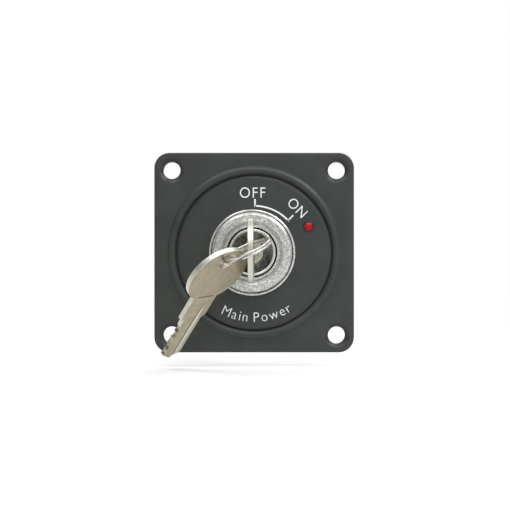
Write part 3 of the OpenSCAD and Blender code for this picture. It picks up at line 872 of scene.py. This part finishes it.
# ------------------------------------ keys and ring
def key_outline():
    """Outline of the key in (width, length): shoulder at 0, blade towards minus, bow towards plus."""
    half = BLADE_HALF
    points = [(-half, -0.2), (-half, 3 - BLADE_L), (-2.2, 1.1 - BLADE_L), (-0.7, 0.1 - BLADE_L),
              (0.5, 0.1 - BLADE_L), (half - 1.5, 1.3 - BLADE_L)]
    for k in range(len(CUT_DEPTHS) - 1, -1, -1):
        z = -FIRST_CUT - CUT_PITCH * k
        cut = half - CUT_DEPTHS[k]
        points += [(half - 0.3, z - 1.5), (cut, z - 0.45), (cut, z + 0.45)]
    points += [(half - 0.35, -3.6), (half - 0.05, -2.6), (half - 0.05, 0.0)]
    points += [(SHANK_HALF, 0.0), (SHANK_HALF, SHANK_L - 0.6)]
    start = math.asin(2 * SHANK_HALF / BOW_W)
    steps = 72
    for k in range(steps + 1):
        a = TAU - start - k * (TAU - 2 * start) / steps
        points.append((-BOW_W / 2 * math.sin(a), SHANK_L + BOW_L / 2 * (1 - math.cos(a))))
    points += [(-SHANK_HALF, SHANK_L - 0.6), (-SHANK_HALF, 1.8)]
    return points


def key_blank():
    """The stamped plate with its bow hole and rolled edges, in metres."""
    outline = key_outline()
    hole = [(x, y) for x, y, _ in ring_points(BOW_HOLE_R, 0, 48, (0, HOLE_Z))]
    verts, faces = flat_region(outline, [hole], 0)
    n = len(verts)
    skin = [(side * KEY_T / 2, v[0], v[1]) for side in (1, -1) for v in verts]
    all_faces = faces + [tuple(i + n for i in f[::-1]) for f in faces]
    count = len(outline)
    for loop in (range(count), range(count, count + len(hole))):
        for k in range(len(loop)):
            a, b = loop[k], loop[(k + 1) % len(loop)]
            all_faces.append((a, b, b + n, a + n))
    blank = loose("blank", (skin, all_faces), Matrix.Scale(MM, 4))
    bevel = blank.modifiers.new("edge", "BEVEL")
    bevel.width = KEY_EDGE_R * MM
    bevel.segments = 5
    bevel.limit_method = "ANGLE"
    bevel.angle_limit = math.radians(60)
    apply_modifiers(blank)
    return blank


def mill_side(blank, side):
    """A groove that fades out near the shoulder, and a stamped stop line across the shank."""
    cutter_r, groove_depth = 1.4, 0.42
    steps, level_steps = 39, 24
    path = []
    for k in range(steps + 1):
        z = -BLADE_L - 1 + (BLADE_L + SHANK_L - 0.5) * k / steps
        depth = groove_depth - 0.50 * max(0.0, (k - level_steps) / (steps - level_steps)) ** 2
        path.append((side * (KEY_T / 2 + cutter_r - depth), -1.5, z))
    cut_away(blank, loose("groove", sweep(path, cutter_r, 28), Matrix.Scale(MM, 4)))
    steps = 12
    dent = [(side * (KEY_T / 2 + 0.14), -3.2 + 6.4 * k / steps, SHANK_L + 1.6) for k in range(steps + 1)]
    cut_away(blank, loose("stamp", sweep(dent, 0.34), Matrix.Scale(MM, 4)))


def key_finish(face):
    """Material slot of a face of the blank: 0 on flats; 1 on edges and lit cuts, a lighter copy that paints
    highlight; 2 in shaded cuts, a darker copy that paints shade.
    """
    if abs(face.center.x) < (KEY_T / 2 - 0.03) * MM and abs(face.normal.x) > 0.35:
        lit = face.normal.y > 0 or face.center.z > SHANK_L * MM and face.normal.z < 0
        return 1 if lit else 2
    return 1 if abs(face.normal.x) < 0.35 and face.center.z > -3.6 * MM else 0


def key_mesh(name, matrix, body, mat):
    """A stamped key in its place: rolled edges, a milled groove each side and a stop line."""
    blank = key_blank()
    for side in (-1, 1):
        mill_side(blank, side)
    finishes = [key_finish(face) for face in blank.data.polygons]
    blank.data.transform(matrix)
    obj = finish_piece(name, blank.data, body, 20)
    bpy.data.objects.remove(blank)
    # Flat faces keep their own normals next to the rolled edges
    weighted = obj.modifiers.new("flat_faces", "WEIGHTED_NORMAL")
    weighted.keep_sharp = True
    paint(obj, mat)
    # Edges and lit cuts take the lighter copy, painted highlight; shaded cuts take the darker one, painted
    # shade.
    obj.data.materials.append(MATS["key_edge_painted_highlight"])
    obj.data.materials.append(MATS["key_cut_painted_shade"])
    for face, index in zip(obj.data.polygons, finishes):
        face.material_index = index
    return obj


def keys():
    """The inserted key at its stop, and the spare key hanging from the ring."""
    stand = STAND @ Matrix.Scale(1 / MM, 4)
    seat = stand @ Matrix.Translation((LOCK_AT[0] * MM, 0, KEY_STOP * MM))
    key = key_mesh("key_stamped", seat, "key", MATS["key"])
    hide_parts("key")
    centre, heading, tilt, roll = SPARE_POSE
    hang = (stand @ Matrix.Translation(Vector(centre) * MM) @ Matrix.Rotation(math.radians(heading), 4, "Z")
            @ Matrix.Rotation(math.radians(tilt), 4, "Y") @ Matrix.Rotation(math.radians(roll), 4, "Z")
            @ Matrix.Translation((0, 0, -HOLE_Z * MM)))
    spare = key_mesh("spare_key_stamped", hang, "spare", MATS["spare"])
    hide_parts("spare_key")


def key_ring():
    """Split ring: two turns of wire side by side, crossing over at the far side, with square-cut ends."""
    centre, heading, lean = RING_POSE
    radius, wire, gap = 7.9, 0.40, 0.10
    place = (STAND @ Matrix.Translation(centre) @ Matrix.Rotation(math.radians(heading), 4, "Z")
             @ Matrix.Rotation(math.radians(lean), 4, "X") @ Matrix.Rotation(math.radians(90), 4, "X"))
    steps = 288
    start = math.radians(120)
    total = 2 * TAU - math.radians(14)
    crossing = 0.9
    path = []
    for k in range(steps + 1):
        turn = total * k / steps
        across = min(1.0, max(0.0, (turn - TAU + crossing / 2) / crossing))
        across = across * across * (3 - 2 * across)
        offset = (2 * across - 1) * (wire + gap / 2 - 0.01)
        path.append((radius * math.cos(start + turn), radius * math.sin(start + turn), offset))
    obj = new_piece("split_ring", *sweep(path, wire, 14), "ring", "steel", place, 50)
    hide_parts("key_ring")
    paint(obj, MATS["wire_steel"])


# ------------------------------------ LED
def led_lens():
    """Domed lens with its flange."""
    low, high = LENS["z"]
    r, dome_r, steps = 1.5, 1.96, 10
    profile = [(0.0, high)]
    for k in range(1, steps + 1):
        a = math.asin(r / dome_r) * k / steps
        profile.append((dome_r * math.sin(a), high - dome_r * (1 - math.cos(a))))
    profile += [(r, low + 1.0), (r + 0.4, low + 1.0), (r + 0.4, low), (0.0, low)]
    skin = lathe(profile, LED_COUNT, LED_AT, closed=False)
    lens = new_piece("led_dome", *skin, "panel", "led_red", smooth=40)
    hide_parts("led_lens")
    paint(lens, MATS["led"])


def led_holder():
    """Black bushing that holds the LED, with a thin lip on the dial."""
    back = span("led_holder")["z"][0]
    profile = rounded([(1.53, back), (2.5, back), (2.5, 0.0), (1.77, 0.0), (1.77, DIAL_Z),
                       (2.0, DIAL_Z), (2.0, DIAL_Z + 0.3), (1.53, DIAL_Z + 0.3)],
                      [0.02, 0.15, 0.15, 0.02, 0.02, 0.02, 0.15, 0.08])
    holder = new_piece("led_bezel", *lathe(profile, LED_COUNT, LED_AT), "panel", "black_plastic")
    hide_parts("led_holder")
    paint(holder, MATS["black"])


# ------------------------------------ terminals behind the panel
TERMINAL_AT = 6.5
TERMINALS = [(LOCK_AT[0] + s * TERMINAL_AT * math.sin(math.pi / 4), s * TERMINAL_AT * math.cos(math.pi / 4))
             for s in (1, -1)]
BASE_BACK = BASE["z"][0]
STUD_R = 2.0
THREAD_PITCH = 0.7
NUT_FLATS = 7.0


def threaded_rod(radius, low, high, pitch, centre, around=24):
    """A right-hand V thread with chamfered ends, as one closed skin."""
    depth = 0.36
    rows = int((high - low) / pitch * 6)
    loops = []
    for k in range(rows + 1):
        z = low + (high - low) * k / rows
        fade = min(1.0, (z - low) / 0.5, (high - z) / 0.4 + 0.3)
        loop = []
        for j in range(around):
            phase = (z / pitch + j / around) % 1.0
            groove = 1 - abs(2 * phase - 1)
            r = (radius - depth * groove) * (0.84 + 0.16 * fade)
            a = TAU * j / around
            loop.append((centre[0] + r * math.cos(a), centre[1] + r * math.sin(a), z))
        loops.append(loop)
    return loft(loops, close_ends=(True, True))


def hex_nut(flats, hole, low, high, centre, turn):
    """A nut whose corners run off into chamfer cones at both faces, with a countersunk bore."""
    around, chamfer = 96, 0.3
    turns = [TAU * j / around for j in range(around)]
    face_r = flats / 2 * 0.96
    corner = [flats / 2 / math.cos(a % (math.pi / 3) - math.pi / 6) for a in turns]
    drop = [(c - face_r) * 0.58 for c in corner]

    def loop(radii, heights):
        return [(centre[0] + r * math.cos(a + turn), centre[1] + r * math.sin(a + turn), z)
                for a, r, z in zip(turns, radii, heights)]

    def level(r, z):
        return loop([r] * around, [z] * around)
    return loft([level(face_r, low), loop(corner, [low + d for d in drop]),
                 loop(corner, [high - d for d in drop]), level(face_r, high),
                 level(hole + chamfer, high), level(hole, high - chamfer),
                 level(hole, low + chamfer), level(hole + chamfer, low)], closed=True)


def terminals():
    """Threaded studs, each with a collar seated in the base, and two nuts on each."""
    low = STUDS["z"][0]
    seat = BASE_BACK + 5
    parts = []
    for c in TERMINALS:
        collar = rounded([(1.2, seat), (3, seat), (3, seat + 1), (1.2, seat + 1)], 0.15)
        parts.append(threaded_rod(STUD_R, low, BASE_BACK + 3, THREAD_PITCH, c))
        parts.append(lathe(collar, 48, c))
        parts.append(cylinder(STUD_R - 0.1, BASE_BACK + 2.8, seat + 1, c))
    studs = new_piece("threaded_studs", *merged(parts), "panel", "brass", smooth=50)
    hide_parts("terminal_studs")
    paint(studs, MATS["brass"])
    for node, name, turn in (("stud_lock_nuts", "chamfered_lock_nuts", -45),
                             ("terminal_nuts", "chamfered_nuts", -35)):
        low, high = span(node)["z"]
        nuts = [hex_nut(NUT_FLATS, STUD_R + 0.02, low, high, c, math.radians(turn)) for c in TERMINALS]
        obj = new_piece(name, *merged(nuts), "panel", "brass", smooth=30)
        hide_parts(node)
        paint(obj, MATS["nut_brass"])


# ------------------------------------ wiring
WIRE_R = 0.6
BEND_R = 4.0
RED_AT = (LED_AT[0] + LEAD_GAP, LED_AT[1])
BLACK_AT = (LED_AT[0] - LEAD_GAP, LED_AT[1])


def red_lead():
    """Red wire: from the lug on the first terminal, round a bend and forward to the LED."""
    start = Vector(TERMINALS[0])
    along = (Vector(RED_AT) - start).normalized()
    run = (Vector(RED_AT) - start).length
    low, high = span("red_wire")["z"]
    axis_z = low + 0.63
    from_stud = 6.4
    path = []
    for k in range(9):
        distance = from_stud + (run - BEND_R - from_stud) * k / 8
        path.append((*(start + along * distance), axis_z))
    for k in range(1, 13):
        a = math.pi / 2 * k / 12
        distance = run - BEND_R + BEND_R * math.sin(a)
        path.append((*(start + along * distance), axis_z + BEND_R * (1 - math.cos(a))))
    for k in range(1, 9):
        path.append((*RED_AT, axis_z + BEND_R + (high - axis_z - BEND_R) * k / 8))
    obj = new_piece("red_lead", *sweep(path, WIRE_R, 20), "panel", "red_insulation", smooth=50)
    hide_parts("red_wire")
    paint(obj, MATS["red_wire"])


def black_lead():
    """Black wire, stripped at its free end to seven twisted strands."""
    low, high = span("black_wire")["z"]
    cut = low + 4
    jacket = [(0.28, cut), (WIRE_R - 0.1, cut), (WIRE_R, cut + 0.12), (WIRE_R, high), (0.28, high)]
    obj = new_piece("black_lead", *lathe(jacket, 20, BLACK_AT), "panel", "black_insulation", smooth=50)
    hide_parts("black_wire")
    paint(obj, MATS["black_wire"])
    top = cut + 0.6
    steps = 24
    strands = []
    for k in range(7):
        ring = 0.0 if k == 0 else 0.19
        line = []
        for j in range(steps + 1):
            z = top - (top - low) * j / steps
            a = TAU * k / 6 + 1.6 * (cut - z)
            line.append((BLACK_AT[0] + ring * math.cos(a), BLACK_AT[1] + ring * math.sin(a), z))
        strands.append(sweep(line, 0.095, 8))
    obj = new_piece("black_lead_strands", *merged(strands), "panel", "copper", smooth=50)
    paint(obj, MATS["copper"])


def sleeves():
    """Heat-shrink sleeves on both leads, with soft ends and a slightly uneven skin."""
    sleeve_low, high = span("heat_shrink")["z"]
    black_low = span("led_leads")["z"][0] - 4
    wall, end, steps = 0.1, 0.25, 14
    parts = []
    for centre, inner, outer, low in ((RED_AT, 0.95, 1.2, sleeve_low), (BLACK_AT, 0.64, 0.9, black_low)):
        rows = [(inner, low), (outer - wall, low), (outer, low + end)]
        for k in range(1, steps):
            t = k / steps
            waist = outer - 0.04 - 0.03 * math.sin(TAU * 2.5 * t)
            rows.append((waist, low + end + (high - low - 2 * end) * t))
        rows += [(outer, high - end), (outer - wall, high), (inner, high)]
        parts.append(lathe(rows, 32, centre))
    obj = new_piece("shrunk_sleeves", *merged(parts), "panel", "black_insulation", smooth=50)
    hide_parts("heat_shrink")
    paint(obj, MATS["shrink"])


# ------------------------------------ materials of the CAD nodes that stay
CAD_FINISHES = {
    "steel": ("wave_washer", "detent_spring", "detent_screw", "base_screws", "contact_tips",
              "terminal_washers", "ring_lug", "led_leads", "retaining_clip", "contact_spring",
              "wafer_springs", "detent_ball"),
    "brass": ("plug", "wafers"),
    "housing": ("lock_housing",),
    "base": ("terminal_base",),
    "resistor": ("resistor",),
    "rotor": ("contact_rotor",),
    "copper": ("contact_bridge",),
}


def paint_cad():
    """Finishes for the CAD nodes that no piece replaces."""
    for finish, nodes in CAD_FINISHES.items():
        for node in nodes:
            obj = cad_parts[node]
            for slot in obj.material_slots:
                slot.material = MATS[finish]
            if not obj.material_slots:
                obj.data.materials.append(MATS[finish])


# ------------------------------------ stage, light and camera
def stage():
    """A large white floor a little below the part, with a soft fade into the white backdrop."""
    floor_z = cad_bounds[0][2] - 0.004
    size = 3.0
    mesh = bpy.data.meshes.new("floor")
    corners = [(sx * size, sy * size, floor_z) for sx, sy in ((-1, -1), (1, -1), (1, 1), (-1, 1))]
    mesh.from_pydata(corners, [], [(0, 1, 2, 3)])
    floor = link_object("floor", mesh)
    mat, tree, shader = material("floor_white")
    shader.inputs["Base Color"].default_value = (0.9, 0.9, 0.9, 1)
    shader.inputs["Roughness"].default_value = 0.9
    # Far from the object the floor begins to glow
    away = add_node(tree, "VectorMath", Vector=add_node(tree, "NewGeometry").outputs["Position"])
    away.operation = "LENGTH"
    glow = add_node(tree, "Emission")
    glow.inputs["Color"].default_value = (1, 1, 1, 1)
    mix = mix_shaders(tree, remap(tree, away.outputs["Value"], 0.55, 1, 0.05, 0.3), shader, glow)
    tree.links.new(mix, tree.nodes["Material Output"].inputs[0])
    floor.data.materials.append(mat)


def area(name, at, target, size, power, size_y=None):
    """A white rectangular lamp at a point in metres, facing the target."""
    light = bpy.data.lights.new(name, "AREA")
    light.shape = "RECTANGLE"
    light.size = size
    light.size_y = size_y or size
    light.energy = power
    obj = link_object(name, light)
    obj.location = at
    obj.rotation_euler = (Vector(target) - Vector(at)).to_track_quat("-Z", "Y").to_euler()


def backdrop():
    """White to the camera; to the object, a dim studio that brightens from the floor upwards."""
    world = bpy.data.worlds.new("studio")
    bpy.context.scene.world = world
    world.use_nodes = True
    tree = world.node_tree
    tree.nodes.clear()
    split = add_node(tree, "SeparateXYZ", Vector=add_node(tree, "TexCoord").outputs["Generated"])
    sky = ramp(tree, remap(tree, split.outputs["Z"], 0, 1, -1, 1),
               [(0.0, (0.35, 0.35, 0.34)), (0.48, (0.30, 0.30, 0.30)), (0.56, (0.55, 0.56, 0.57)),
                (1.0, (1.0, 1.0, 1.0))])
    lit = add_node(tree, "Background", Color=sky)
    lit.inputs["Strength"].default_value = 0.42
    seen = add_node(tree, "Background")
    seen.inputs["Color"].default_value = (1, 1, 1, 1)
    seen.inputs["Strength"].default_value = 1.0
    to_camera = add_node(tree, "LightPath").outputs["Is Camera Ray"]
    add_node(tree, "OutputWorld", Surface=mix_shaders(tree, to_camera, lit, seen))


def lights():
    """Soft lamps above and to the right, a low grazing one for the raised ring, and one behind."""
    centre = (0, 0, 0)
    area("key_light", (0.22, -0.5, 0.6), centre, 0.42, 3.3)
    area("fill_light", (0.5, -0.5, 0.1), centre, 0.5, 0.7)
    area("top_strip", (-0.2, -0.14, 0.48), centre, 0.5, 1.3, 0.15)
    area("graze_light", (0.36, -0.10, 0.46), (0.02, 0, 0), 0.16, 1.25)
    area("rear_light", (0.2, 0.6, 0.4), centre, 0.5, 5.0)


def camera():
    """The viewing place: square to the plate, a little right of and below its centre."""
    x, z, distance = 5.3, -10.6, 340.0
    data = bpy.data.cameras.new("camera")
    data.sensor_width = 36.0
    data.lens = 66.6353
    data.shift_x = -0.02714
    data.shift_y = 0.05294
    data.clip_start = 0.01
    obj = link_object("camera", data)
    obj.location = (x * MM, -(distance + FACE_Z) * MM, z * MM)
    obj.rotation_euler = (math.pi / 2, 0, 0)
    bpy.context.scene.camera = obj


face_plate()
legend()
bezel_washer()
ring_nut()
plug_cap()
keys()
key_ring()
led_lens()
led_holder()
terminals()
red_lead()
black_lead()
sleeves()
paint_cad()
stage()
backdrop()
lights()
camera()
view = bpy.context.scene.view_settings
view.view_transform = "Standard"
view.look = "None"
